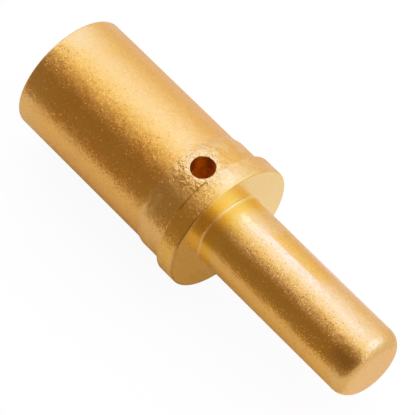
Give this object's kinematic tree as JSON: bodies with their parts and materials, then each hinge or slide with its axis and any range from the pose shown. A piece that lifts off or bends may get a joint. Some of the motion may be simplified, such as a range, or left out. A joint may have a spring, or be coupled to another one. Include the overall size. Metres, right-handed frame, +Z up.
{
  "type": "hyperboloid contact pin",
  "caption": "Turned, gold plated power contact: a hollow crimp barrel with an inspection hole, a retention collar and a solid round pin with a rounded tip.",
  "frame": {"origin": "bottom centre of the part's box: on the surface it lies on, below its axis, at the middle of its length", "axes": "+X along the axis from the barrel's open rear to the pin's tip, +Z up through the inspection hole"},
  "size_m": [0.034, 0.011, 0.0111],
  "materials": {
    "gold_plating": "satin gold plating over turned copper alloy"
  },
  "bodies": {
    "root": {"contact_pin": "gold_plating"}
  },
  "joints": []
}
